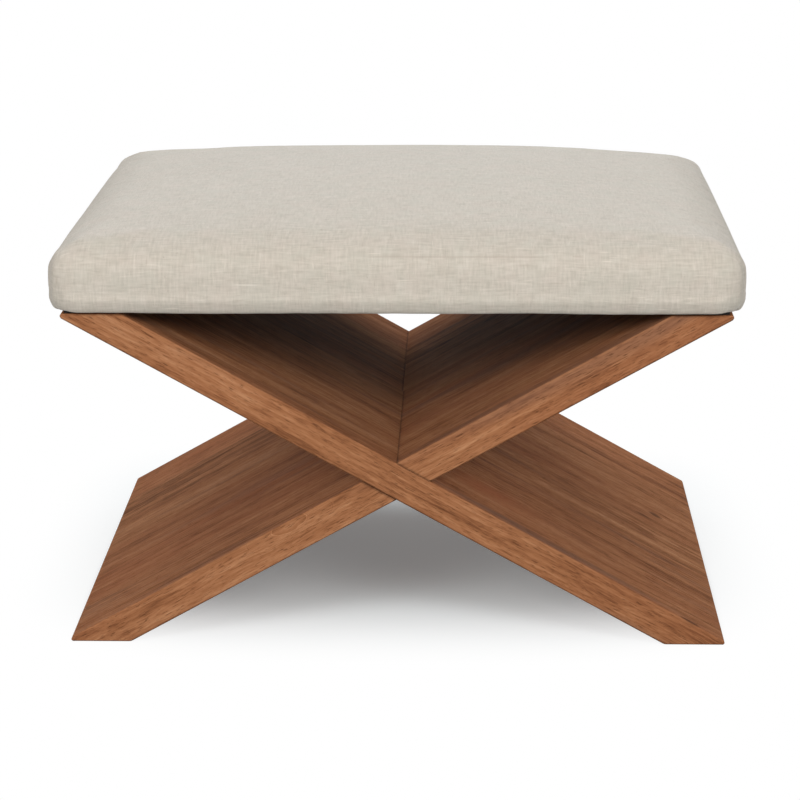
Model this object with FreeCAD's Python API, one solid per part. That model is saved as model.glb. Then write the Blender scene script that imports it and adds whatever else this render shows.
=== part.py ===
import FreeCAD, Part
import math
import os

# Upholstered stool on two crossing slabs. Each slab is glued up from boards, and the slabs lock
# through each other with an angled cross-halving joint.
# Millimetres. X is the width, Y the depth from front to back, Z is up. The origin is on the floor
# under the middle of the stool.

Vector = FreeCAD.Vector

# Crossed base
base_width = 691.0
base_depth = 588.0
base_height = 356.0
slab_thickness = 34.5
tip_height = 4.0
boards_per_half = 3
arris_bevel = 1.4
foot_corner_radius = 9.0
joint_clearance = 0.15

# Steel mounting strips, clamped between the slab tops and the seat
strip_thickness = 3.8
strip_setback = 4.0
strip_end_setback = 6.0

# Bolts that hold the seat, from counterbores in the underside of the slabs
bolts_per_side = 2
bolt_diameter = 8.0
bolt_from_inner_edge = 18.0
bolt_head_diameter = 13.0
bolt_head_height = 6.0
bolt_socket_width = 6.0
bolt_socket_depth = 3.0
bolt_reach_in_deck = 12.0
counterbore_depth = 13.0
counterbore_diameter = 20.0
washer_diameter = 17.0
washer_thickness = 1.2
bolt_hole_clearance = 0.4
thread_clearance = 0.05

# Threaded inserts in the underside of the deck
insert_wall = 2.0
insert_length = 13.0

# Plywood deck
deck_thickness = 18.0
deck_corner_radius = 22.0

# Upholstered seat
seat_overhang = 11.0
seat_height = 97.2
seat_edge_radius = 36.0
crown_rise = 24.0
crown_margin = 3.0
linen_thickness = 1.2
hem_width = 38.0
batting_at_deck = 6.0
foam_below_rim = 8.0
foam_top_bevel = 15.0

# Dust cover of black cloth under the deck, between the strips
dust_cover_thickness = 0.8
dust_cover_inset = 11.0
dust_cover_clearance = 1.0

# Slope of the slabs, from the two parallel faces of a slab and its blunt tips
half_width = base_width / 2
half_depth = base_depth / 2
rise = base_height - 2 * tip_height
slope = math.atan2(rise, base_width) + math.asin(slab_thickness / math.hypot(base_width, rise))
top_face_width = (slab_thickness / math.cos(slope) - tip_height) / math.tan(slope)
boards_per_slab = 2 * boards_per_half
board_width = base_depth / boards_per_slab

# Levels of the seat, from the slab tops upward
seat_bottom = base_height + strip_thickness
deck_bottom = seat_bottom + linen_thickness
deck_top = deck_bottom + deck_thickness
rim_level = seat_bottom + seat_height - crown_rise
foam_top = rim_level - foam_below_rim
seat_half_x = half_width + seat_overhang
seat_half_y = half_depth + seat_overhang
deck_half_x = seat_half_x - linen_thickness - batting_at_deck
deck_half_y = seat_half_y - linen_thickness - batting_at_deck


def rounded_outline(points, radii, place):
    """Closed wire of straight runs. Each corner has its radius, and 0 leaves it sharp.

    place turns a corner's (u, v) to a Vector.
    """
    edges = []
    ends = []
    count = len(points)
    for i in range(count):
        corner = Vector(*points[i], 0)
        before = (Vector(*points[i - 1], 0) - corner).normalize()
        after = (Vector(*points[(i + 1) % count], 0) - corner).normalize()
        half_angle = before.getAngle(after) / 2
        reach = radii[i] / math.tan(half_angle)
        bisector = (before + after).normalize()
        middle = corner + bisector * (radii[i] / math.sin(half_angle) - radii[i])
        ends.append([place(p.x, p.y) for p in (corner + before * reach, middle, corner + after * reach)])
    for i in range(count):
        start, middle, end = ends[i]
        if radii[i] > 0:
            edges.append(Part.Arc(start, middle, end).toShape())
        edges.append(Part.LineSegment(end, ends[(i + 1) % count][0]).toShape())
    return Part.Wire(edges)


def rounded_rectangle(half_x, half_y, radius, z):
    corners = [(half_x, half_y), (-half_x, half_y), (-half_x, -half_y), (half_x, -half_y)]
    return rounded_outline(corners, [radius] * 4, lambda u, v: Vector(u, v, z))


def rounded_plate(half_x, half_y, radius, z, thickness):
    face = Part.Face(rounded_rectangle(half_x, half_y, radius, z))
    return face.extrude(Vector(0, 0, thickness))


def upright_cylinder(radius, x, y, z_low, z_high):
    return Part.makeCylinder(radius, z_high - z_low, Vector(x, y, z_low))


def half_turn(shape):
    """The same shape on the other side: slab B is slab A turned half round about the upright axis."""
    turned = shape.copy()
    turned.rotate(Vector(0, 0, 0), Vector(0, 0, 1), 180)
    return turned


def both_sides(solids):
    """Left-hand solids and their right-hand copies as one group."""
    return Part.makeCompound(solids + [half_turn(solid) for solid in solids])


def evenly(count, pitch):
    """Places of a row of count things about zero."""
    return [(i - (count - 1) / 2) * pitch for i in range(count)]


def box_between(low, high):
    size = [b - a for a, b in zip(low, high)]
    return Part.makeBox(*size, Vector(*low))


# Bolt places on the left side: X is counted from the inner edge of the slab's top face
bolt_x = top_face_width - half_width - bolt_from_inner_edge
bolt_places = evenly(bolts_per_side, base_depth / bolts_per_side)
underside_at_bolt = base_height - tip_height - (half_width + bolt_x) * math.tan(slope)
bolt_seat_z = underside_at_bolt + counterbore_depth
bolt_hole_radius = bolt_diameter / 2 + bolt_hole_clearance
insert_radius = bolt_diameter / 2 + insert_wall


def slab_solid():
    """Slab A, which falls from upper left to lower right, whole and with its arrises eased."""
    ease = min(arris_bevel, tip_height / 3)
    outline = [
        (-half_width, base_height),
        (-half_width + top_face_width, base_height),
        (half_width, tip_height),
        (half_width, 0),
        (half_width - top_face_width, 0),
        (-half_width, base_height - tip_height),
    ]
    radii = [0, 0, 0, 0, foot_corner_radius, 0]
    wire = rounded_outline(outline, radii, lambda u, v: Vector(u, -half_depth, v))
    slab = Part.Face(wire).extrude(Vector(0, base_depth, 0))
    foot_x = half_width - top_face_width
    sharp = [e for e in slab.Edges if abs(e.CenterOfMass.x - foot_x) > foot_corner_radius]
    return slab.makeChamfer(ease, sharp)


def crossing_way():
    """The way that slab B takes through the back half of slab A, with the joint's clearance."""
    thickness = slab_thickness + 2 * joint_clearance
    length = base_width + base_height
    way = Part.makeBox(length, base_depth, thickness, Vector(-length / 2, 0, -thickness / 2))
    way.rotate(Vector(0, 0, 0), Vector(0, 1, 0), -math.degrees(slope))
    way.translate(Vector(0, 0, base_height / 2))
    return way


def bolt_holes(z_low, z_high, radius):
    """Upright holes or plugs of one radius at the bolts of the left side."""
    return [upright_cylinder(radius, bolt_x, y, z_low, z_high) for y in bolt_places]


def bored(shape):
    """shape with the left side's bolt holes and counterbores, as far as they reach into it."""
    holes = bolt_holes(0, seat_bottom, bolt_hole_radius)
    counterbores = bolt_holes(0, bolt_seat_z, counterbore_diameter / 2)
    return shape.cut(Part.makeCompound(holes + counterbores))


def slab_boards():
    """Boards of slab A by number and piece: whole in the front half, cut by the crossing behind."""
    slab = bored(slab_solid().cut(crossing_way()))
    reach = base_width + slab_thickness
    boards = {}
    for number in range(1, boards_per_slab + 1):
        y_high = -half_depth + number * board_width
        strip = box_between((-reach, y_high - board_width, -reach), (reach, y_high, reach))
        pieces = slab.common(strip).Solids
        pieces.sort(key=lambda piece: piece.CenterOfMass.z)
        labels = ["_foot", "_top"] if len(pieces) == 2 else [""]
        for label, piece in zip(labels, pieces):
            boards[number, label] = piece
    return boards


def base_nodes():
    """Both slabs, board by board, counted from the front."""
    boards = slab_boards()
    nodes = {}
    for (number, label), board in boards.items():
        nodes["slab_a_board_%d%s" % (number, label)] = board
        nodes["slab_b_board_%d%s" % (boards_per_slab + 1 - number, label)] = half_turn(board)
    return nodes


def mounting_strip():
    """Steel strip on the left slab top, drilled for the bolts."""
    half_x = top_face_width / 2 - strip_setback
    half_y = half_depth - strip_end_setback
    strip = box_between((-half_x, -half_y, base_height), (half_x, half_y, seat_bottom))
    strip.translate(Vector(-half_width + top_face_width / 2, 0, 0))
    return bored(strip)


def hexagonal_prism(width, x, y, z_low, z_high):
    corner_radius = width / 2 / math.cos(math.pi / 6)
    turns = [k * math.pi / 3 for k in range(7)]
    rim = [Vector(corner_radius * math.cos(a), corner_radius * math.sin(a), 0) for a in turns]
    prism = Part.Face(Part.makePolygon(rim)).extrude(Vector(0, 0, z_high - z_low))
    prism.translate(Vector(x, y, z_low))
    return prism


def seat_bolt(y):
    """Socket head bolt, up through the slab and the strip into its insert in the deck."""
    head_high = bolt_seat_z - washer_thickness
    head_low = head_high - bolt_head_height
    head = upright_cylinder(bolt_head_diameter / 2, bolt_x, y, head_low, head_high)
    shank = upright_cylinder(bolt_diameter / 2, bolt_x, y, head_high, deck_bottom + bolt_reach_in_deck)
    socket = hexagonal_prism(bolt_socket_width, bolt_x, y, head_low, head_low + bolt_socket_depth)
    return head.fuse(shank).cut(socket)


def ring(outer_radius, inner_radius, y, z_low, z_high):
    disc = upright_cylinder(outer_radius, bolt_x, y, z_low, z_high)
    return disc.cut(upright_cylinder(inner_radius, bolt_x, y, z_low, z_high))


def washer(y):
    return ring(washer_diameter / 2, bolt_hole_radius, y, bolt_seat_z - washer_thickness, bolt_seat_z)


def threaded_insert(y):
    bore = bolt_diameter / 2 + thread_clearance
    return ring(insert_radius, bore, y, deck_bottom, deck_bottom + insert_length)


def fastener_nodes():
    return {
        "mounting_strip_left": mounting_strip(),
        "mounting_strip_right": half_turn(mounting_strip()),
        "seat_bolts": both_sides([seat_bolt(y) for y in bolt_places]),
        "bolt_washers": both_sides([washer(y) for y in bolt_places]),
        "threaded_inserts": both_sides([threaded_insert(y) for y in bolt_places]),
    }


def crown(half_x, half_y, z_rim):
    """Block with a domed top: one curved patch, level along its four sides and full in the middle.

    The patch's middle pole counts for a quarter there, so it is lifted by four times the rise.
    """
    patch = Part.BezierSurface()
    patch.increase(2, 2)
    for i in range(3):
        for j in range(3):
            lift = 4 * crown_rise if i == j == 1 else 0
            patch.setPole(i + 1, j + 1, Vector((i - 1) * half_x, (j - 1) * half_y, z_rim + lift))
    return patch.toShape().extrude(Vector(0, 0, -crown_rise - crown_margin))


def cushion_form(shrink, z_low):
    """Closed form of the seat, shrink inside its outer surface, from height z_low up.

    The upright corners and the top edge roll over in one radius, and the top rises to a crown.
    """
    radius = seat_edge_radius - shrink
    half_x = seat_half_x - shrink
    half_y = seat_half_y - shrink
    z_rim = rim_level - shrink
    block = box_between((-half_x, -half_y, z_low), (half_x, half_y, z_rim))
    rolled = block.makeFillet(radius, [e for e in block.Edges if e.BoundBox.ZMax > z_low + radius])
    inset = radius + crown_margin
    return rolled.fuse(crown(half_x - inset, half_y - inset, z_rim))


def deck():
    """Plywood deck, bored for the inserts."""
    plate = rounded_plate(deck_half_x, deck_half_y, deck_corner_radius, deck_bottom, deck_thickness)
    return plate.cut(both_sides(bolt_holes(deck_bottom, deck_bottom + insert_length, insert_radius)))


def foam_core():
    """Firm foam block on the deck. Its corners are cut off inside the deck's, and its top is bevelled."""
    block = box_between((-deck_half_x, -deck_half_y, deck_top), (deck_half_x, deck_half_y, foam_top))
    upright_edges = [e for e in block.Edges if e.BoundBox.ZLength > foam_top_bevel]
    block = block.makeChamfer(deck_corner_radius, upright_edges)
    top_edges = [e for e in block.Edges if e.BoundBox.ZMin > deck_top]
    return block.makeChamfer(foam_top_bevel, top_edges)


def batting_wrap():
    """Soft layers over the foam and down the edge of the deck, thickest under the crown."""
    deck_plug = rounded_plate(deck_half_x, deck_half_y, deck_corner_radius, deck_bottom, deck_thickness)
    return cushion_form(linen_thickness, deck_bottom).cut(foam_core().fuse(deck_plug))


def linen_cover():
    """Linen pulled over the seat and turned under the deck, open in the middle of the underside."""
    half_x = seat_half_x - hem_width
    half_y = seat_half_y - hem_width
    opening = box_between((-half_x, -half_y, seat_bottom), (half_x, half_y, deck_bottom))
    return cushion_form(0, seat_bottom).cut(cushion_form(linen_thickness, deck_bottom)).cut(opening)


def dust_cover():
    half_x = half_width - top_face_width + strip_setback - dust_cover_clearance
    half_y = deck_half_y - dust_cover_inset
    low = seat_bottom - dust_cover_thickness
    return box_between((-half_x, -half_y, low), (half_x, half_y, seat_bottom))


def seat_nodes():
    return {
        "seat_deck": deck(),
        "foam_core": foam_core(),
        "batting_wrap": batting_wrap(),
        "linen_cover": linen_cover(),
        "dust_cover": dust_cover(),
    }


os.makedirs("parts", exist_ok=True)
for node_maker in (base_nodes, fastener_nodes, seat_nodes):
    for node, shape in node_maker().items():
        shape.exportStep("parts/%s.step" % node)
        print(node, len(shape.Solids), round(shape.Volume), shape.isValid())
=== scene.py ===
import math
import random

import bmesh
import bpy
from mathutils import Matrix, Vector, noise


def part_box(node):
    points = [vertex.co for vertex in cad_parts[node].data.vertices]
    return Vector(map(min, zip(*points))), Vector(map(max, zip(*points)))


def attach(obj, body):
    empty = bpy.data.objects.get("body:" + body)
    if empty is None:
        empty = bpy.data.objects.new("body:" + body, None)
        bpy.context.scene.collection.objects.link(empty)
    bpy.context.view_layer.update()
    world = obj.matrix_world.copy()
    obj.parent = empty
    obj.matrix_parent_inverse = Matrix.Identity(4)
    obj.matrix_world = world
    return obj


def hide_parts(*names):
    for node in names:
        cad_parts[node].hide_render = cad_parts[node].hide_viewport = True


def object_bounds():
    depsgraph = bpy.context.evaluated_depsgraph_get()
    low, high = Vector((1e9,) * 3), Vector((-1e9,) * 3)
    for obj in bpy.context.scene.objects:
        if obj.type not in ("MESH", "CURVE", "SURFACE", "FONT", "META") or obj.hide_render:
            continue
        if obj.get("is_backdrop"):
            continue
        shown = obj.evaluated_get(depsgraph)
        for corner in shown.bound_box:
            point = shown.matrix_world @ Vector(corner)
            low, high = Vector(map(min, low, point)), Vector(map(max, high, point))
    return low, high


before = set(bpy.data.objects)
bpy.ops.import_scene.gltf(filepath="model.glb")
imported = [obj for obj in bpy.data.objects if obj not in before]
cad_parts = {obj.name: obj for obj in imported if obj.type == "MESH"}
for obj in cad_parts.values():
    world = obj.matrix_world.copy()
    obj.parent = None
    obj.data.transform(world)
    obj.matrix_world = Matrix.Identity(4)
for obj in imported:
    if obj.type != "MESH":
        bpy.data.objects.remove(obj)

cad_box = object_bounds()

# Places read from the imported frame, in metres
slab_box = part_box("slab_a_board_1")
seat_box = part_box("linen_cover")
deck_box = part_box("seat_deck")
dust_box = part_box("dust_cover")
half_depth = -slab_box[0].y
base_height = slab_box[1].z
seat_half_x = seat_box[1].x
seat_half_y = seat_box[1].y
seat_bottom = seat_box[0].z
seat_top = seat_box[1].z
deck_bottom = deck_box[0].z
deck_top = deck_box[1].z
deck_half_x = deck_box[1].x
deck_half_y = deck_box[1].y
dust_low = dust_box[0].z

# The slabs, as the frame has them
slab_thickness = 0.0345
slab_slope = math.radians(29.286)
slab_middle = Vector((0, 0, base_height / 2))


# Camera, fitted to the edges and corners of the crossed slabs in the photograph

camera_place = Vector((0.0749, -2.9852, 0.9889))
camera_pitch = math.radians(15.025)
camera_yaw = math.radians(-1.5086)
camera_roll = math.radians(-0.1846)
lens_mm = 121.565
sensor_mm = 36.0


def make_camera():
    data = bpy.data.cameras.new("camera")
    data.lens = lens_mm
    data.sensor_width = sensor_mm
    data.clip_end = 50
    camera = bpy.data.objects.new("camera", data)
    bpy.context.scene.collection.objects.link(camera)
    turn = Matrix.Rotation(-camera_yaw, 4, "Z")
    tilt = Matrix.Rotation(math.pi / 2 - camera_pitch, 4, "X")
    roll = Matrix.Rotation(camera_roll, 4, "Z")
    camera.matrix_world = Matrix.Translation(camera_place) @ turn @ tilt @ roll
    bpy.context.scene.camera = camera


# Short calls for building materials


class Nodes:
    """A material's node tree, with one short call for each kind of node."""

    def __init__(self, name):
        self.material = bpy.data.materials.new(name)
        self.material.use_nodes = True
        self.tree = self.material.node_tree
        self.shader = self.tree.nodes["Principled BSDF"]
        self.output = self.tree.nodes["Material Output"]

    def add(self, kind, inputs=(), **settings):
        """New node. inputs are (socket, value or other socket) pairs."""
        node = self.tree.nodes.new(kind)
        for key, value in settings.items():
            setattr(node, key, value)
        for socket, value in inputs:
            self.put(node.inputs[socket], value)
        return node

    def put(self, socket, value):
        if isinstance(value, bpy.types.NodeSocket):
            self.tree.links.new(value, socket)
        else:
            socket.default_value = value

    def math(self, operation, *values, clamp=False):
        pairs = list(enumerate(values))
        return self.add("ShaderNodeMath", pairs, operation=operation, use_clamp=clamp).outputs[0]

    def dot(self, vector, direction):
        pairs = [(0, vector), (1, tuple(direction))]
        return self.add("ShaderNodeVectorMath", pairs, operation="DOT_PRODUCT").outputs["Value"]

    def distance(self, vector, place):
        pairs = [(0, vector), (1, tuple(place))]
        return self.add("ShaderNodeVectorMath", pairs, operation="DISTANCE").outputs["Value"]

    def combine(self, x, y, z):
        return self.add("ShaderNodeCombineXYZ", [(0, x), (1, y), (2, z)]).outputs[0]

    def separate(self, vector):
        return self.add("ShaderNodeSeparateXYZ", [(0, vector)]).outputs

    def noise(self, vector, scale=1.0, detail=3.0, roughness=0.5):
        pairs = [("Vector", vector), ("Scale", scale), ("Detail", detail), ("Roughness", roughness)]
        return self.add("ShaderNodeTexNoise", pairs).outputs["Fac"]

    def smooth(self, value, low, high, to_low=0.0, to_high=1.0):
        """value eased from to_low at low to to_high at high."""
        limits = [("From Min", low), ("From Max", high), ("To Min", to_low), ("To Max", to_high)]
        pairs = [("Value", value), *limits]
        node = self.add("ShaderNodeMapRange", pairs, interpolation_type="SMOOTHSTEP")
        return node.outputs["Result"]

    def ramp(self, value, stops):
        node = self.add("ShaderNodeValToRGB", [("Fac", value)])
        points = node.color_ramp.elements
        while len(points) < len(stops):
            points.new(0.5)
        for point, (place, colour) in zip(points, stops):
            point.position = place
            point.color = (*colour, 1)
        return node.outputs["Color"]

    def mix(self, factor, a, b, blend="MIX"):
        node = self.add("ShaderNodeMix", data_type="RGBA", blend_type=blend)
        self.put(node.inputs["Factor"], factor)
        for socket, value in ((node.inputs[6], a), (node.inputs[7], b)):
            self.put(socket, value if isinstance(value, bpy.types.NodeSocket) else (*value, 1))
        return node.outputs[2]

    def bump(self, height, distance, strength=1.0, normal=None):
        pairs = [("Height", height), ("Distance", distance), ("Strength", strength)]
        node = self.add("ShaderNodeBump", pairs)
        if normal is not None:
            self.put(node.inputs["Normal"], normal)
        return node.outputs["Normal"]

    def place(self):
        return self.add("ShaderNodeTexCoord").outputs["Object"]


# Wood

wood_dark = (0.070, 0.027, 0.013)
wood_brown = (0.195, 0.078, 0.034)
wood_mean = (0.315, 0.132, 0.058)
wood_light = (0.405, 0.182, 0.084)
wood_pale = (0.50, 0.25, 0.125)
wood_red = (0.33, 0.110, 0.048)
wood_grey = (0.155, 0.086, 0.062)
wood_black = (0.022, 0.011, 0.008)
wood_stops = ((0.0, wood_dark), (0.3, wood_brown), (0.52, wood_mean), (0.74, wood_light), (1.0, wood_pale))
ring_spacing = 0.0064
eye_ring_spacing = 0.016
arris_solid = 0.0006
arris_faded = 0.0026
joint_solid = 0.0002
joint_faded = 0.0030

# Sideways wander of the grain, across the board and through it
sway_across = 0.022
sway_through = 0.012

# How much each kind of figure lightens the wood, and the level that they start from
band_weight = 0.90
streak_weight = 0.80
patch_weight = 0.50
fine_weight = 1.00
start_level = -0.985
ring_darkening = -0.15
eye_ring_darkening = -0.18
eye_lightening = 0.20

# Marks that the photograph shows: place, reach along the grain, reach across it, in metres
swirl = (Vector((-0.1125, -0.294, 0.1305)), 0.055, 0.019)
red_patch = (Vector((0.1034, -0.214, 0.1398)), 0.090, 0.040)
grey_strip = (Vector((0.1600, -0.281, 0.1090)), 0.210, 0.014)
dark_knots = (
    (Vector((0.2947, 0.0586, 0.0325)), 0.012, 0.0085),
    (Vector((0.2800, 0.0300, 0.0430)), 0.016, 0.0050),
    (Vector((0.3085, -0.290, 0.0247)), 0.016, 0.0055),
)


def wood_material(name, slope, other_slope, seed, tone, redness, cut):
    """Oiled hardwood whose grain runs along a slab of this slope, a negative slope falling to the right.

    tone is a board's own lightness, redness how far it leans to red. A board that is cut at the
    crossing gets a dark joint line with painted shade beside it where it butts.
    """
    n = Nodes(name)
    rng = random.Random(seed)
    along = Vector((math.cos(slope), 0, math.sin(slope)))
    through = Vector((-math.sin(slope), 0, math.cos(slope)))
    other_through = Vector((-math.sin(other_slope), 0, math.cos(other_slope)))
    place = n.place()
    length = n.dot(place, along)
    level_across = n.separate(place)[1]
    level_depth = n.math("SUBTRACT", n.dot(place, through), through.dot(slab_middle))
    offset = rng.uniform(-40, 40)

    def stretched(per_length, per_width, detail, roughness=0.55, shift=0.0):
        """Noise drawn out along the grain."""
        vector = n.combine(
            n.math("MULTIPLY_ADD", length, per_length, offset + shift),
            n.math("MULTIPLY_ADD", across, per_width, offset),
            n.math("MULTIPLY", depth, per_width),
        )
        return n.noise(vector, detail=detail, roughness=roughness)

    def mark(spot, inner=0.0):
        """1 inside a drawn-out round spot, fading to 0 at its reach, and how far out a point lies."""
        middle, reach_along, reach_across = spot
        sides = (
            (length, middle.dot(along), reach_along),
            (level_across, middle.y, reach_across),
            (level_depth, (middle - slab_middle).dot(through), reach_across),
        )
        near = [n.math("MULTIPLY", n.math("SUBTRACT", part, at), 1 / reach) for part, at, reach in sides]
        away = n.distance(n.combine(*near), (0, 0, 0))
        return n.smooth(away, 1.0, inner), away

    # The grain wanders sideways over a hand's width
    across, depth = level_across, level_depth
    sway = stretched(4.5, 9.0, 2.0, shift=7.0)
    across = n.math("MULTIPLY_ADD", sway, sway_across, level_across)
    depth = n.math("MULTIPLY_ADD", sway, sway_through, level_depth)

    bands = stretched(2.4, 38.0, 2.0)
    streaks = stretched(6.5, 170.0, 4.0, 0.62)
    patches = stretched(16.0, 42.0, 3.0, 0.6)
    fine = stretched(45.0, 620.0, 3.0, 0.65)
    pores = stretched(95.0, 1250.0, 1.0)

    # Year rings about a pith line outside the board, drawn into an eye at the swirl
    pith_across = rng.uniform(-0.35, 0.35)
    pith_depth = -rng.uniform(0.05, 0.12)
    side = n.math("SUBTRACT", across, pith_across)
    up = n.math("SUBTRACT", depth, pith_depth)
    radius = n.math("SQRT", n.math("ADD", n.math("MULTIPLY", side, side), n.math("MULTIPLY", up, up)))
    radius = n.math("MULTIPLY_ADD", patches, 0.010, radius)
    eye, eye_away = mark(swirl, 0.35)
    eye_radius = n.math("MULTIPLY_ADD", patches, 0.022, n.math("MULTIPLY", eye_away, eye_ring_spacing))
    radius = n.math("ADD", radius, n.math("MULTIPLY", eye, n.math("SUBTRACT", eye_radius, radius)))
    turns = n.math("MULTIPLY_ADD", radius, 1 / ring_spacing, n.math("MULTIPLY", streaks, 0.8))
    ring = n.math("FRACT", turns)
    ring = n.math("MULTIPLY", n.smooth(ring, 0.0, 0.82), n.smooth(ring, 1.0, 0.86))

    value = n.math("MULTIPLY_ADD", bands, band_weight, tone + start_level)
    value = n.math("MULTIPLY_ADD", streaks, streak_weight, value)
    value = n.math("MULTIPLY_ADD", patches, patch_weight, value)
    value = n.math("MULTIPLY_ADD", fine, fine_weight, value)
    ring_depth = n.math("MULTIPLY_ADD", eye, eye_ring_darkening, ring_darkening)
    value = n.math("MULTIPLY_ADD", ring, ring_depth, value)
    value = n.math("MULTIPLY_ADD", eye, eye_lightening, value, clamp=True)
    colour = n.ramp(value, wood_stops)

    # Red and grey heartwood, dark knots and open pores
    hue = n.smooth(stretched(2.2, 18.0, 2.0, shift=21.0), 0.42, 0.68, 0.0, 0.55)
    colour = n.mix(n.math("MULTIPLY_ADD", hue, redness, redness * 0.4, clamp=True), colour, wood_red)
    grey = n.smooth(stretched(1.9, 24.0, 2.0, shift=3.0), 0.55, 0.74, 0.0, 0.4)
    colour = n.mix(grey, colour, wood_grey)
    red = n.math("MULTIPLY", mark(red_patch, 0.1)[0], n.smooth(patches, 0.3, 0.7, 0.25, 0.75))
    colour = n.mix(red, colour, wood_red)
    strip = n.math("MULTIPLY", mark(grey_strip, 0.2)[0], n.smooth(streaks, 0.35, 0.6, 0.35, 0.75))
    colour = n.mix(strip, colour, wood_grey)
    for spot in dark_knots:
        colour = n.mix(n.math("MULTIPLY", mark(spot, 0.35)[0], 0.75), colour, wood_dark)
    pore = n.smooth(pores, 0.59, 0.72, 0.0, 0.6)
    colour = n.mix(pore, colour, wood_dark)

    # Painted highlight on the upper arrises and painted shade on the lower ones, along the front and the back
    # edge
    def beside(level, surface):
        """1 right at a surface on either side of the board, 0 further inside."""
        return n.smooth(n.math("ABSOLUTE", level), surface - arris_faded, surface - arris_solid)

    near_face = beside(level_depth, slab_thickness / 2)
    near_edge = beside(level_across, half_depth)
    painted_edge_light_and_shade = n.math("MULTIPLY", n.math("MULTIPLY", near_face, near_edge), n.smooth(patches, 0.35, 0.6))
    upper = n.math("GREATER_THAN", level_depth, 0.0)
    # Painted highlight along the upper arrises
    colour = n.mix(n.math("MULTIPLY", painted_edge_light_and_shade, n.math("MULTIPLY", upper, 0.35)), colour, wood_light)
    lower = n.math("SUBTRACT", 1.0, upper)
    # Painted shade along the lower arrises
    colour = n.mix(n.math("MULTIPLY", painted_edge_light_and_shade, n.math("MULTIPLY", lower, 0.5)), colour, wood_dark)
    # A dark joint line with painted shade beside it, where a cut board butts the other slab
    if cut:
        other_depth = n.math("SUBTRACT", n.dot(place, other_through), other_through.dot(slab_middle))
        joint = n.math("SUBTRACT", n.math("ABSOLUTE", other_depth), slab_thickness / 2)
        shade = n.smooth(joint, joint_faded, joint_solid, 0.0, 0.5)
        colour = n.mix(shade, colour, wood_black)

    n.put(n.shader.inputs["Base Color"], colour)
    rough = n.math("MULTIPLY_ADD", streaks, -0.16, 0.70)
    n.put(n.shader.inputs["Roughness"], n.math("MULTIPLY_ADD", pore, 0.2, rough))
    n.shader.inputs["Specular IOR Level"].default_value = 0.015
    relief = n.math("MULTIPLY_ADD", pore, -1.0, n.math("MULTIPLY", fine, 0.8))
    n.put(n.shader.inputs["Normal"], n.bump(relief, 0.0005, 0.6))
    return n.material


# Each board's lightness and redness, from the front of its slab to the back
board_looks = {
    "slab_a": [(0.02, 0.3), (0.0, 0.2), (0.05, 0.0), (-0.02, 0.3), (0.04, 0.1), (-0.03, 0.4)],
    "slab_b": [(0.04, 0.3), (-0.02, 0.5), (-0.01, 0.4), (0.05, 0.1), (-0.13, 0.0), (-0.06, 0.7)],
}


def dress_boards():
    """Each board node gets the grain of its slab and its own tone and figure."""
    for node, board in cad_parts.items():
        if not node.startswith("slab_"):
            continue
        slab, number = node[:6], int(node.split("_")[3])
        slope = -slab_slope if slab == "slab_a" else slab_slope
        seed = 100 * (1 + (slab == "slab_b")) + number
        cut = node.endswith(("_foot", "_top"))
        name = "wood_%s_%d%s" % (slab, number, "_cut" if cut else "")
        material = bpy.data.materials.get(name)
        if material is None:
            tone, redness = board_looks[slab][number - 1]
            material = wood_material(name, slope, -slope, seed, tone, redness, cut)
        board.data.materials.clear()
        board.data.materials.append(material)


# Metal, plywood and dust cloth

ply_thickness = 0.0036
dust_cloth_pitch = 0.0016


def painted_steel():
    n = Nodes("black_painted_steel")
    mottle = n.noise(n.place(), 180.0, 4.0)
    colour = n.ramp(mottle, [(0.3, (0.012, 0.012, 0.013)), (0.7, (0.03, 0.029, 0.028))])
    n.put(n.shader.inputs["Base Color"], colour)
    n.put(n.shader.inputs["Roughness"], n.smooth(mottle, 0.2, 0.8, 0.5, 0.7))
    n.shader.inputs["Specular IOR Level"].default_value = 0.2
    n.put(n.shader.inputs["Normal"], n.bump(n.noise(n.place(), 900.0, 2.0), 0.0002, 0.4))
    return n.material


def zinc_steel():
    n = Nodes("zinc_plated_steel")
    mottle = n.noise(n.place(), 240.0, 4.0)
    colour = n.ramp(mottle, [(0.3, (0.42, 0.42, 0.41)), (0.7, (0.66, 0.65, 0.62))])
    n.put(n.shader.inputs["Base Color"], colour)
    n.shader.inputs["Metallic"].default_value = 1.0
    n.put(n.shader.inputs["Roughness"], n.smooth(mottle, 0.2, 0.8, 0.28, 0.48))
    n.put(n.shader.inputs["Normal"], n.bump(n.noise(n.place(), 1400.0, 2.0), 0.0001, 0.4))
    return n.material


def plywood():
    """Birch plywood: long grain on the faces, thin layers on the edges."""
    n = Nodes("birch_plywood")
    x, y, z = n.separate(n.place())[:3]
    grain = n.noise(n.combine(n.math("MULTIPLY", x, 4.0), n.math("MULTIPLY", y, 90.0), 0.0), detail=4.0)
    layer = n.math("FRACT", n.math("MULTIPLY", n.math("SUBTRACT", z, deck_bottom), 1 / ply_thickness))
    glue = n.smooth(layer, 0.1, 0.0, 0.0, 0.6)
    colour = n.ramp(grain, [(0.3, (0.42, 0.27, 0.15)), (0.7, (0.62, 0.45, 0.28))])
    n.put(n.shader.inputs["Base Color"], n.mix(glue, colour, (0.16, 0.09, 0.05)))
    n.put(n.shader.inputs["Roughness"], n.smooth(grain, 0.2, 0.8, 0.6, 0.75))
    n.put(n.shader.inputs["Normal"], n.bump(grain, 0.0004, 0.4))
    return n.material


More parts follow.
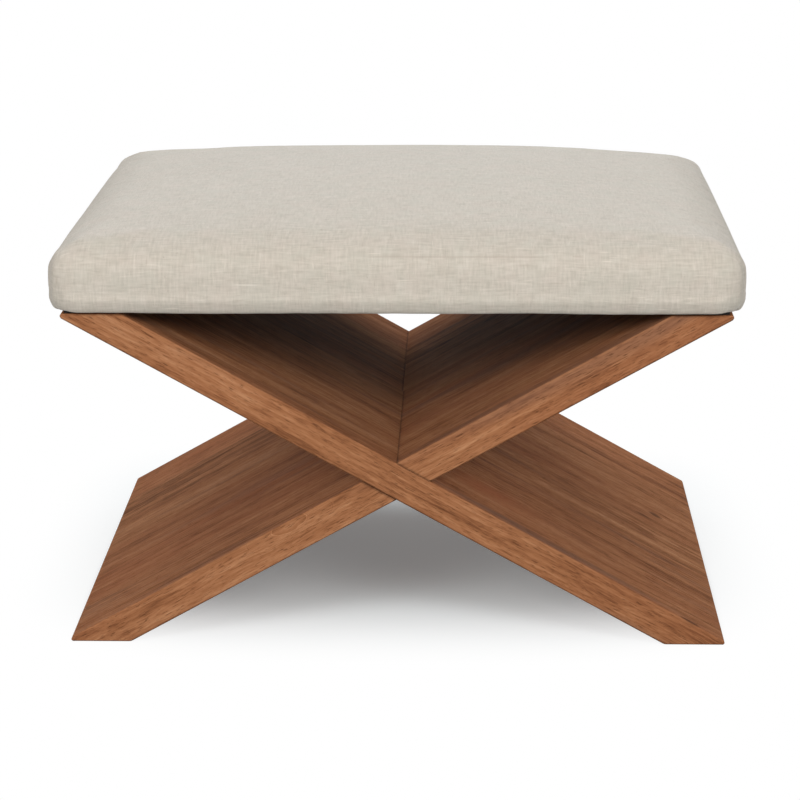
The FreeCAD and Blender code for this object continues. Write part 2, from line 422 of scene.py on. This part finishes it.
def dust_cloth():
    """Black nonwoven cloth with a small embossed dot pattern."""
    n = Nodes("black_dust_cloth")
    x, y, z = n.separate(n.place())[:3]
    turn = 2 * math.pi / dust_cloth_pitch
    rows, columns = [n.math("SINE", n.math("MULTIPLY", side, turn)) for side in (x, y)]
    dots = n.math("MULTIPLY", rows, columns)
    fibre = n.noise(n.place(), 700.0, 4.0)
    colour = n.ramp(fibre, [(0.3, (0.010, 0.010, 0.011)), (0.75, (0.034, 0.034, 0.036))])
    n.put(n.shader.inputs["Base Color"], colour)
    n.put(n.shader.inputs["Roughness"], n.smooth(fibre, 0.2, 0.8, 0.8, 0.95))
    n.shader.inputs["Sheen Weight"].default_value = 0.15
    n.put(n.shader.inputs["Normal"], n.bump(n.math("MULTIPLY_ADD", fibre, 0.6, dots), 0.0002, 0.6))
    return n.material


# Linen

linen_shade = (0.462, 0.413, 0.345)
linen_mean = (0.566, 0.509, 0.433)
linen_light = (0.665, 0.602, 0.526)
linen_rose = (0.606, 0.520, 0.448)
linen_green = (0.536, 0.508, 0.431)
linen_slub_pale = (0.74, 0.67, 0.58)
linen_slub_dark = (0.40, 0.32, 0.25)
linen_fleck = (0.28, 0.21, 0.16)
thread_pitch = 0.00105
thread_wander = 0.004

# Where the threads turn down over the roll
turn_inset = 0.0106
linen_roll_x = seat_half_x - turn_inset
linen_roll_y = seat_half_y - turn_inset
linen_roll_z = 0.4212

# How much each kind of figure lightens the linen, and the level that they start from
warp_weight = 0.54
weft_weight = 0.60
mottle_weight = 0.20
cloud_weight = 0.12
linen_start_level = -0.23

# Painted shade along a faint crease, and a thick pale thread, on the front: height, left end, right end,
# strength, colour
linen_lines = (
    (0.4180, -0.035, 0.160, 0.34, (0.42, 0.345, 0.28)),
    (0.3900, -0.175, -0.130, 0.60, (0.74, 0.68, 0.60)),
)
line_solid = 0.0003
line_faded = 0.0013
line_fade_out = 0.02


def linen():
    """Slubbed plain weave. The threads run on from the top over the roll and down each side."""
    n = Nodes("natural_linen")
    place = n.place()
    x, y, z = n.separate(place)[:3]
    facing = n.add("ShaderNodeTexCoord").outputs["Normal"]
    toward_x, toward_y, toward_z = [n.math("ABSOLUTE", part) for part in n.separate(facing)[:3]]
    flat = n.math("GREATER_THAN", toward_z, n.math("MAXIMUM", toward_x, toward_y))
    upright = n.math("SUBTRACT", 1.0, flat)
    on_side = n.math("MULTIPLY", upright, n.math("GREATER_THAN", toward_x, toward_y))
    on_front = n.math("SUBTRACT", upright, on_side)

    def run_on(along, edge, switch):
        """along, or past the roll the edge's own place plus the drop below it."""
        drop = n.math("SUBTRACT", edge + linen_roll_z, z)
        turned = n.math("MULTIPLY", n.math("SIGN", along), drop)
        step = n.math("MULTIPLY", switch, n.math("SUBTRACT", turned, along))
        return n.math("ADD", along, step)

    u = run_on(x, linen_roll_x, on_side)
    v = run_on(y, linen_roll_y, on_front)
    wobble = n.noise(place, 9.0, 2.0)
    u = n.math("MULTIPLY_ADD", wobble, thread_wander, u)
    v = n.math("MULTIPLY_ADD", wobble, thread_wander, v)

    def threads(across, along, per_across, per_along, seed, detail=2.0):
        vector = n.combine(
            n.math("MULTIPLY", across, per_across), n.math("MULTIPLY", along, per_along), float(seed)
        )
        return n.noise(vector, detail=detail, roughness=0.6)

    warp = threads(u, v, 430.0, 60.0, 3)
    weft = threads(v, u, 430.0, 48.0, 11)
    warp_slub = threads(u, v, 400.0, 55.0, 29, 1.0)
    weft_slub = threads(v, u, 400.0, 34.0, 37, 1.0)
    mottle = n.noise(place, 95.0, 3.0, 0.6)
    cloud = n.noise(place, 14.0, 3.0)

    value = n.math("MULTIPLY_ADD", warp, warp_weight, linen_start_level)
    value = n.math("MULTIPLY_ADD", weft, weft_weight, value)
    value = n.math("MULTIPLY_ADD", mottle, mottle_weight, value)
    value = n.math("MULTIPLY_ADD", cloud, cloud_weight, value)
    colour = n.ramp(value, [(0.25, linen_shade), (0.5, linen_mean), (0.78, linen_light)])
    tint = n.noise(place, 38.0, 4.0, 0.65)
    colour = n.mix(n.smooth(tint, 0.50, 0.66, 0.0, 0.3), colour, linen_rose)
    colour = n.mix(n.smooth(tint, 0.50, 0.36, 0.0, 0.3), colour, linen_green)
    pale_warp = n.smooth(warp_slub, 0.64, 0.80, 0.0, 0.4)
    pale_weft = n.smooth(weft_slub, 0.64, 0.80, 0.0, 0.5)
    pale = n.math("MAXIMUM", pale_warp, pale_weft)
    colour = n.mix(pale, colour, linen_slub_pale)
    dark_warp, dark_weft = [n.smooth(slub, 0.34, 0.20, 0.0, 0.3) for slub in (warp_slub, weft_slub)]
    colour = n.mix(n.math("MAXIMUM", dark_warp, dark_weft), colour, linen_slub_dark)
    in_front = n.math("LESS_THAN", y, -linen_roll_y)
    # The crease line is painted shade; the pale thread is the linen's own colour
    for level, left, right, strength, tone in linen_lines:
        away = n.math("ABSOLUTE", n.math("SUBTRACT", z, level))
        near = n.smooth(away, line_faded, line_solid, 0.0, strength)
        from_left = n.smooth(x, left, left + line_fade_out)
        from_right = n.smooth(x, right, right - line_fade_out)
        ends = n.math("MULTIPLY", from_left, from_right)
        near = n.math("MULTIPLY", n.math("MULTIPLY", near, ends), in_front)
        colour = n.mix(near, colour, tone)
    fleck = n.smooth(n.noise(place, 240.0, 1.0), 0.76, 0.84, 0.0, 0.4)
    colour = n.mix(fleck, colour, linen_fleck)

    n.put(n.shader.inputs["Base Color"], colour)
    n.put(n.shader.inputs["Roughness"], n.smooth(value, 0.2, 0.8, 0.96, 0.82))
    n.shader.inputs["Specular IOR Level"].default_value = 0.2
    n.shader.inputs["Sheen Weight"].default_value = 0.3
    n.shader.inputs["Sheen Roughness"].default_value = 0.35
    turn = 2 * math.pi / thread_pitch
    warp_thread = n.math("SINE", n.math("MULTIPLY", u, turn))
    weft_thread = n.math("SINE", n.math("MULTIPLY", v, turn))
    relief = n.math("MULTIPLY_ADD", n.math("MULTIPLY", warp_thread, weft_thread), 0.25, value)
    relief = n.math("MULTIPLY_ADD", pale, 0.8, relief)
    n.put(n.shader.inputs["Normal"], n.bump(relief, 0.0006, 0.55))
    return n.material


# Seat

# The rolled edge: its width in plan, its height, and how square it and the corners are
roll_width = 0.049
roll_height = 0.0362
roll_power = 2.8
corner_power = 3.6
widest_above_bottom = 0.0352
crown = seat_top - seat_bottom - widest_above_bottom - roll_height

# Below its widest level the side draws in and the rim at the bottom sags
tuck = 0.0022
rim_sag = 0.0028
rim_width = 0.012

# The simulation draws the sides in and lifts the top, so the form starts wider and lower
start_wider = 0.0052
start_lower = 0.0036
wider_down_to = 0.5
wider_fades_over = 0.35

# The deck's corner radius, and how far the linen lies outside its edge
deck_corner = 0.022
deck_clearance = 0.0025

# Pull and unevenness of the hem, below hem_height and outside hem_rim of the way out
hem_height = 0.05
hem_rim = 0.93
hem_pitch = 0.034
hem_pull = 0.0005
hem_waves = 0.0007
rim_height = 0.012
rim_waves = 0.0010

# Faint waves of the top and its slack back corners: place, drop
top_height = 0.04
top_fades_over = 0.03
top_waves = 0.0009
corner_slumps = (
    (Vector((0.335, 0.285)), 0.0075),
    (Vector((-0.335, 0.285)), 0.0035),
)
slump_reach = 0.085

# Folds of spare linen beside the corners: a groove with a lap next to it
pleat_from_corner = 0.018
pleat_height = 0.062
pleat_side = 0.03
groove_depth = 0.0020
groove_width = 0.0028
lap_height = 0.0011
lap_from_groove = 0.0060
lap_width = 0.0045

# Faces of the closed form, and the simulation
steps_x, steps_y, steps_side = 96, 84, 14
voxel = 0.0075
pressure = 4.0
pressure_frames = 16
largest_move = 0.004


def spread(t):
    """Even steps -1 to 1 drawn together towards both ends."""
    return math.sin(t * math.pi / 2)


def seat_outline(a, b, half_x, half_y):
    """Plan point of the unit square's (a, b), and how far through the roll it lies, 1 at the rim."""
    inner_x, inner_y = half_x - roll_width, half_y - roll_width
    across = max(0.0, (abs(a) * half_x - inner_x) / roll_width)
    deep = max(0.0, (abs(b) * half_y - inner_y) / roll_width)
    level = max(across, deep)
    x, y = abs(a) * half_x, abs(b) * half_y
    if level > 0:
        fit = level / (across ** corner_power + deep ** corner_power) ** (1 / corner_power)
        x = min(x, inner_x) + across * fit * roll_width
        y = min(y, inner_y) + deep * fit * roll_width
    return math.copysign(x, a), math.copysign(y, b), level


def seat_point(a, b, c):
    """Point of the seat's closed form.

    a, b and c run from -1 to 1 over a block, and c = 1 is the top sheet.
    """
    half_x, half_y = seat_half_x + start_wider, seat_half_y + start_wider
    widest = seat_bottom + widest_above_bottom
    if c < 1:
        below = (1 - c) / 2
        drawn = min(1.0, max(0.0, (below - wider_down_to) / wider_fades_over))
        inset = tuck * below ** 2 + start_wider * drawn
        x, y, level = seat_outline(a, b, half_x - inset, half_y - inset)
        sag = rim_sag * below ** 3
        if c == -1:
            edge = min(half_x - inset - abs(x), half_y - inset - abs(y))
            sag *= max(0.0, 1 - edge / rim_width)
        return Vector((x, y, widest - below * widest_above_bottom - sag))
    x, y, level = seat_outline(a, b, half_x, half_y)
    roll = (1 - min(level, 1.0) ** roll_power) ** (1 / roll_power)
    dome = (1 - (x / half_x) ** 2) * (1 - (y / half_y) ** 2)
    return Vector((x, y, widest + (roll_height - start_lower) * roll + crown * dome))


def block_faces(bm, steps_a, steps_b, steps_c, point):
    """Closed block of quads over the unit cube's surface, each corner placed by point(a, b, c)."""
    corners = {}

    def vertex(i, j, k):
        key = (i, j, k)
        if key not in corners:
            a = spread(2 * i / steps_a - 1)
            b = spread(2 * j / steps_b - 1)
            corners[key] = bm.verts.new(point(a, b, 2 * k / steps_c - 1))
        return corners[key]

    for i in range(steps_a):
        for j in range(steps_b):
            bm.faces.new([vertex(i, j, 0), vertex(i, j + 1, 0), vertex(i + 1, j + 1, 0), vertex(i + 1, j, 0)])
            top = [(i, j), (i + 1, j), (i + 1, j + 1), (i, j + 1)]
            bm.faces.new([vertex(p, q, steps_c) for p, q in top])
    for k in range(steps_c):
        for i in range(steps_a):
            bm.faces.new([vertex(i, 0, k), vertex(i + 1, 0, k), vertex(i + 1, 0, k + 1), vertex(i, 0, k + 1)])
            far = [(i, k), (i, k + 1), (i + 1, k + 1), (i + 1, k)]
            bm.faces.new([vertex(p, steps_b, q) for p, q in far])
        for j in range(steps_b):
            bm.faces.new([vertex(0, j, k), vertex(0, j, k + 1), vertex(0, j + 1, k + 1), vertex(0, j + 1, k)])
            right = [(j, k), (j + 1, k), (j + 1, k + 1), (j, k + 1)]
            bm.faces.new([vertex(steps_a, p, q) for p, q in right])


def new_piece(name, bm, material, smooth=True):
    mesh = bpy.data.meshes.new(name)
    bm.normal_update()
    bm.to_mesh(mesh)
    bm.free()
    for face in mesh.polygons:
        face.use_smooth = smooth
    mesh.materials.append(material)
    piece = bpy.data.objects.new(name, mesh)
    bpy.context.scene.collection.objects.link(piece)
    return piece


def apply_modifiers(piece):
    depsgraph = bpy.context.evaluated_depsgraph_get()
    mesh = bpy.data.meshes.new_from_object(piece.evaluated_get(depsgraph))
    piece.modifiers.clear()
    old = piece.data
    piece.data = mesh
    bpy.data.meshes.remove(old)


def inflate(piece):
    """Cloth simulation with pressure: the linen tightens and swells a little between its fixed edges."""
    remesh = piece.modifiers.new("remesh", "REMESH")
    remesh.mode = "VOXEL"
    remesh.voxel_size = voxel
    apply_modifiers(piece)
    start = [vertex.co.copy() for vertex in piece.data.vertices]
    pinned = piece.vertex_groups.new(name="pinned")
    pin_level = seat_bottom + voxel
    for vertex in piece.data.vertices:
        height = vertex.co.z - pin_level
        weight = 1.0 if height < 0 else max(0.0, 1 - height / (2 * voxel))
        if weight > 0:
            pinned.add([vertex.index], weight, "REPLACE")
    cloth = piece.modifiers.new("cloth", "CLOTH")
    cloth.settings.quality = 4
    cloth.settings.mass = 0.3
    cloth.settings.tension_stiffness = 15
    cloth.settings.compression_stiffness = 15
    cloth.settings.shear_stiffness = 8
    cloth.settings.bending_stiffness = 2
    cloth.settings.vertex_group_mass = "pinned"
    cloth.settings.use_pressure = True
    cloth.settings.uniform_pressure_force = pressure
    cloth.settings.effector_weights.gravity = 0
    cloth.collision_settings.use_collision = False
    cloth.point_cache.frame_start = 1
    cloth.point_cache.frame_end = pressure_frames
    scene = bpy.context.scene
    for step in range(1, pressure_frames + 1):
        scene.frame_set(step)
    apply_modifiers(piece)
    scene.frame_set(1)
    for vertex, before in zip(piece.data.vertices, start):
        move = vertex.co - before
        if move.length > largest_move:
            vertex.co = before + move.normalized() * largest_move
    piece.vertex_groups.clear()


def clear_deck(p):
    """Moves p out to the linen's place where it would lie inside the edge of the deck."""
    if not deck_bottom < p.z < deck_top:
        return
    beyond = Vector((abs(p.x) - deck_half_x + deck_corner, abs(p.y) - deck_half_y + deck_corner))
    outward = Vector((max(beyond.x, 0), max(beyond.y, 0)))
    missing = deck_corner + deck_clearance - outward.length
    if outward.length > 0 and missing > 0:
        outward.normalize()
        p.x += math.copysign(outward.x * missing, p.x)
        p.y += math.copysign(outward.y * missing, p.y)


def shape_linen(piece):
    """Pull of the hem's staples, faint waves and the slack back corners, after the simulation."""
    for vertex in piece.data.vertices:
        p = vertex.co
        outward = Vector((p.x / seat_half_x, p.y / seat_half_y, 0))
        side = outward.normalized()
        above = p.z - seat_bottom
        rim = max(abs(p.x) / seat_half_x, abs(p.y) / seat_half_y)
        if rim > hem_rim and above < hem_height:
            fade = (1 - above / hem_height) ** 2
            run = p.x if abs(p.y) / seat_half_y > abs(p.x) / seat_half_x else p.y
            pull = hem_pull * math.cos(2 * math.pi * run / hem_pitch)
            uneven = hem_waves * noise.noise(Vector((p.x * 14, p.y * 14, 3.1)))
            p -= side * (pull + uneven) * fade
            if above < rim_height:
                waves = rim_waves * noise.noise(Vector((p.x * 11, p.y * 11, 8.7)))
                p.z += waves * (1 - above / rim_height)
        if above > top_height:
            p.z += top_waves * noise.noise(Vector((p.x * 9, p.y * 9, 1.7)))
            upper = min(1.0, (above - top_height) / top_fades_over)
            for corner, drop in corner_slumps:
                away = (p.xy - corner).length / slump_reach
                p.z -= drop * upper * math.exp(-away ** 2)
        clear_deck(p)


def pleat_corners(piece):
    """Folds of spare linen on the left and the right side, one beside each corner."""
    for vertex in piece.data.vertices:
        p = vertex.co
        above = p.z - seat_bottom
        if abs(p.x) < seat_half_x - pleat_side or above > pleat_height:
            continue
        beside = seat_half_y - pleat_from_corner - abs(p.y)
        fade = 1 - (above / pleat_height) ** 2 if above > 0 else 1.0
        groove = groove_depth * math.exp(-(beside / groove_width) ** 2)
        lap = lap_height * math.exp(-((beside - lap_from_groove) / lap_width) ** 2)
        p += vertex.normal * (lap - groove) * fade


def make_cushion(material):
    bm = bmesh.new()
    block_faces(bm, steps_x, steps_y, steps_side, seat_point)
    cushion = new_piece("seat_cushion", bm, material)
    inflate(cushion)
    shape_linen(cushion)
    subdivide = cushion.modifiers.new("subdivide", "SUBSURF")
    subdivide.levels = 1
    subdivide.render_levels = 1
    apply_modifiers(cushion)
    pleat_corners(cushion)
    for face in cushion.data.polygons:
        face.use_smooth = True
    if not cushion.data.materials:
        cushion.data.materials.append(material)
    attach(cushion, "root")
    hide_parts("linen_cover", "batting_wrap", "foam_core")


# Dust cover under the seat, and the staples that hold it

staple_pitch = 0.042
staple_inset = 0.011
staple_length = 0.0100
staple_width = 0.0012
staple_proud = 0.0005
staple_bend = 0.0006
staple_skew = 0.12
cloth_step = 0.008
cloth_fold = 0.014
cloth_doubled = 0.00035
cloth_pucker = 0.0006
pucker_reach = 0.03
cloth_slack = 0.0012
cloth_above = 0.0001


def staple_row(length):
    """Places along an edge of this length, evenly spaced and clear of its ends."""
    count = round((length - 2 * staple_inset) / staple_pitch)
    step = (length - 2 * staple_inset) / count
    return [staple_inset - length / 2 + i * step for i in range(count + 1)]


def staple_places():
    """(x, y, turned) of each staple round the dust cover, turned ones running front to back."""
    low, high = dust_box
    width, depth = high.x - low.x, high.y - low.y
    places = []
    for x in staple_row(width):
        places += [(x, low.y + staple_inset, False), (x, high.y - staple_inset, False)]
    for y in staple_row(depth)[1:-1]:
        places += [(low.x + staple_inset, y, True), (high.x - staple_inset, y, True)]
    return places


def make_dust_cover(material):
    """Thin cloth pulled flat under the deck, doubled along its edges, puckered between the staples."""
    low, high = dust_box
    steps_u = round((high.x - low.x) / cloth_step)
    steps_v = round((high.y - low.y) / cloth_step)
    upper = high.z - cloth_above
    bm = bmesh.new()

    def lower(x, y):
        edge = min(x - low.x, high.x - x, y - low.y, high.y - y)
        run = x if min(y - low.y, high.y - y) < min(x - low.x, high.x - x) else y
        doubled = cloth_doubled if edge < cloth_fold else 0.0
        pucker = cloth_pucker * math.cos(2 * math.pi * run / staple_pitch) * math.exp(-edge / pucker_reach)
        loose = cloth_slack * noise.noise(Vector((x * 6, y * 6, 4.4)))
        return low.z - doubled - pucker - abs(loose)

    grid = {}
    for i in range(steps_u + 1):
        for j in range(steps_v + 1):
            x = low.x + (high.x - low.x) * i / steps_u
            y = low.y + (high.y - low.y) * j / steps_v
            grid[i, j] = (bm.verts.new((x, y, lower(x, y))), bm.verts.new((x, y, upper)))
    for i in range(steps_u):
        for j in range(steps_v):
            around = [(i, j), (i, j + 1), (i + 1, j + 1), (i + 1, j)]
            bm.faces.new([grid[corner][0] for corner in around])
            bm.faces.new([grid[corner][1] for corner in reversed(around)])
    rim = [(i, 0) for i in range(steps_u)] + [(steps_u, j) for j in range(steps_v)]
    rim += [(i, steps_v) for i in range(steps_u, 0, -1)] + [(0, j) for j in range(steps_v, 0, -1)]
    for k in range(len(rim)):
        a, b = grid[rim[k]], grid[rim[(k + 1) % len(rim)]]
        bm.faces.new([a[0], b[0], b[1], a[1]])
    cloth = new_piece("dust_cloth", bm, material)
    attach(cloth, "root")
    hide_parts("dust_cover")


def make_staples(material):
    """Wire staples across the edge of the dust cover, each with its two shoulders bent into it."""
    rng = random.Random(41)
    bm = bmesh.new()
    top = dust_low - 0.0004
    half = staple_length / 2
    profile = [
        (-half, staple_bend),
        (-half + staple_bend * 0.3, -staple_proud * 0.6),
        (-half + staple_bend, -staple_proud),
    ]
    profile += [(-along, level) for along, level in reversed(profile)]
    edge, flat = staple_width / 2, staple_width / 4
    section = [(-edge, 0), (-flat, -0.0003), (flat, -0.0003), (edge, 0), (edge, 0.0006), (-edge, 0.0006)]
    for x, y, turned in staple_places():
        skew = rng.uniform(-staple_skew, staple_skew)
        turn = Matrix.Rotation((math.pi / 2 if turned else 0) + skew, 4, "Z")
        move = Matrix.Translation((x, y, top)) @ turn
        rings = []
        for along, level in profile:
            rings.append([bm.verts.new(move @ Vector((along, across, level + up))) for across, up in section])
        for one, two in zip(rings, rings[1:]):
            for k in range(len(section)):
                after = (k + 1) % len(section)
                bm.faces.new([one[k], two[k], two[after], one[after]])
        bm.faces.new(rings[0])
        bm.faces.new(list(reversed(rings[-1])))
    bmesh.ops.recalc_face_normals(bm, faces=bm.faces)
    staples = new_piece("dust_cover_staples", bm, material)
    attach(staples, "root")


# Floor, backdrop and light

floor_seen = 0.96
floor_unseen = 0.42
floor_glow = 0.165
floor_tint = (0.94, 0.99, 1.0)
floor_reach = 12.0
floor_level = -0.0002
world_light = 0.38

# The floor keeps the stool's shadow inside this rounded oblong, and fades to white past it
shadow_reach_x = 0.43
shadow_reach_y = 0.42
shadow_middle_y = 0.07
shadow_corner_power = 4.0
shadow_kept = 0.50
shadow_gone = 1.04
lamp_blue = (0.90, 0.96, 1.0)


def any_seen(tree):
    """1 on what the camera sees, directly, mirrored or through glass."""
    rays = tree.nodes.new("ShaderNodeLightPath").outputs
    result = rays["Is Camera Ray"]
    for name in ("Is Glossy Ray", "Is Transmission Ray"):
        node = tree.nodes.new("ShaderNodeMath")
        node.operation = "MAXIMUM"
        tree.links.new(result, node.inputs[0])
        tree.links.new(rays[name], node.inputs[1])
        result = node.outputs[0]
    return result


def make_floor():
    """Pale floor that keeps the stool's shadow and runs out to plain white around it."""
    bm = bmesh.new()
    corners = [(-1, -1), (1, -1), (1, 1), (-1, 1)]
    bm.faces.new([bm.verts.new((x * floor_reach, y * floor_reach, floor_level)) for x, y in corners])
    n = Nodes("floor_white")
    seen = any_seen(n.tree)
    grey = n.math("MULTIPLY_ADD", seen, floor_seen - floor_unseen, floor_unseen)
    n.put(n.shader.inputs["Base Color"], n.mix(grey, (0, 0, 0), floor_tint))
    n.shader.inputs["Roughness"].default_value = 0.9
    n.shader.inputs["Specular IOR Level"].default_value = 0.1
    glow = n.add("ShaderNodeEmission", [("Color", (1, 1, 1, 1))])
    n.put(glow.inputs["Strength"], n.math("MULTIPLY", seen, floor_glow))
    lit = n.add("ShaderNodeAddShader", [(0, n.shader.outputs[0]), (1, glow.outputs[0])])
    x, y, z = n.separate(n.place())[:3]
    beside = n.math("MULTIPLY", n.math("ABSOLUTE", x), 1 / shadow_reach_x)
    behind = n.math("ABSOLUTE", n.math("SUBTRACT", y, shadow_middle_y))
    behind = n.math("MULTIPLY", behind, 1 / shadow_reach_y)
    far_x = n.math("POWER", beside, shadow_corner_power)
    far_y = n.math("POWER", behind, shadow_corner_power)
    away = n.math("POWER", n.math("ADD", far_x, far_y), 1 / shadow_corner_power)
    plain = n.math("MULTIPLY", n.smooth(away, shadow_kept, shadow_gone), seen)
    white = n.add("ShaderNodeEmission", [("Color", (1, 1, 1, 1)), ("Strength", 1.0)])
    both = n.add("ShaderNodeMixShader", [(0, plain), (1, lit.outputs[0]), (2, white.outputs[0])])
    n.put(n.output.inputs["Surface"], both.outputs[0])
    new_piece("floor", bm, n.material, smooth=False)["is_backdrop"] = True


def make_world():
    world = bpy.data.worlds.new("studio")
    bpy.context.scene.world = world
    world.use_nodes = True
    tree = world.node_tree
    background = tree.nodes["Background"]
    background.inputs["Color"].default_value = (1, 1, 1, 1)
    level = tree.nodes.new("ShaderNodeMapRange")
    level.inputs["To Min"].default_value = world_light
    level.inputs["To Max"].default_value = 1.0
    tree.links.new(any_seen(tree), level.inputs["Value"])
    tree.links.new(level.outputs["Result"], background.inputs["Strength"])


def area_light(name, place, aim, size, watts, colour=(1, 1, 1)):
    data = bpy.data.lights.new(name, "AREA")
    data.shape = "RECTANGLE"
    data.size, data.size_y = size
    data.energy = watts
    data.color = colour
    lamp = bpy.data.objects.new(name, data)
    bpy.context.scene.collection.objects.link(lamp)
    lamp.location = place
    lamp.rotation_euler = (Vector(aim) - Vector(place)).to_track_quat("-Z", "Y").to_euler()


def make_lights():
    """A large lamp overhead and two soft ones high in front, as in a plain product studio."""
    area_light("overhead", (0.1, 1.5, 2.2), (0, 0.1, 0.3), (2.6, 1.4), 27, lamp_blue)
    area_light("front_left", (-1.7, -2.8, 1.75), (0, 0, 0.2), (1.6, 1.2), 52)
    area_light("front_right", (1.7, -2.8, 1.75), (0, 0, 0.2), (1.6, 1.2), 52)


make_camera()
make_floor()
make_world()
make_lights()
dress_boards()
metal = zinc_steel()
for node, material in (
    ("mounting_strip_left", painted_steel()),
    ("mounting_strip_right", painted_steel()),
    ("seat_bolts", metal),
    ("bolt_washers", metal),
    ("threaded_inserts", metal),
    ("seat_deck", plywood()),
):
    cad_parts[node].data.materials.clear()
    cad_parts[node].data.materials.append(material)
make_cushion(linen())
make_dust_cover(dust_cloth())
make_staples(metal)
bpy.context.scene.view_settings.view_transform = "Standard"

visual_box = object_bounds()
boxes = {"cad": cad_box, "visual": visual_box}
boxes = {name: [list(corner) for corner in box] for name, box in boxes.items()}
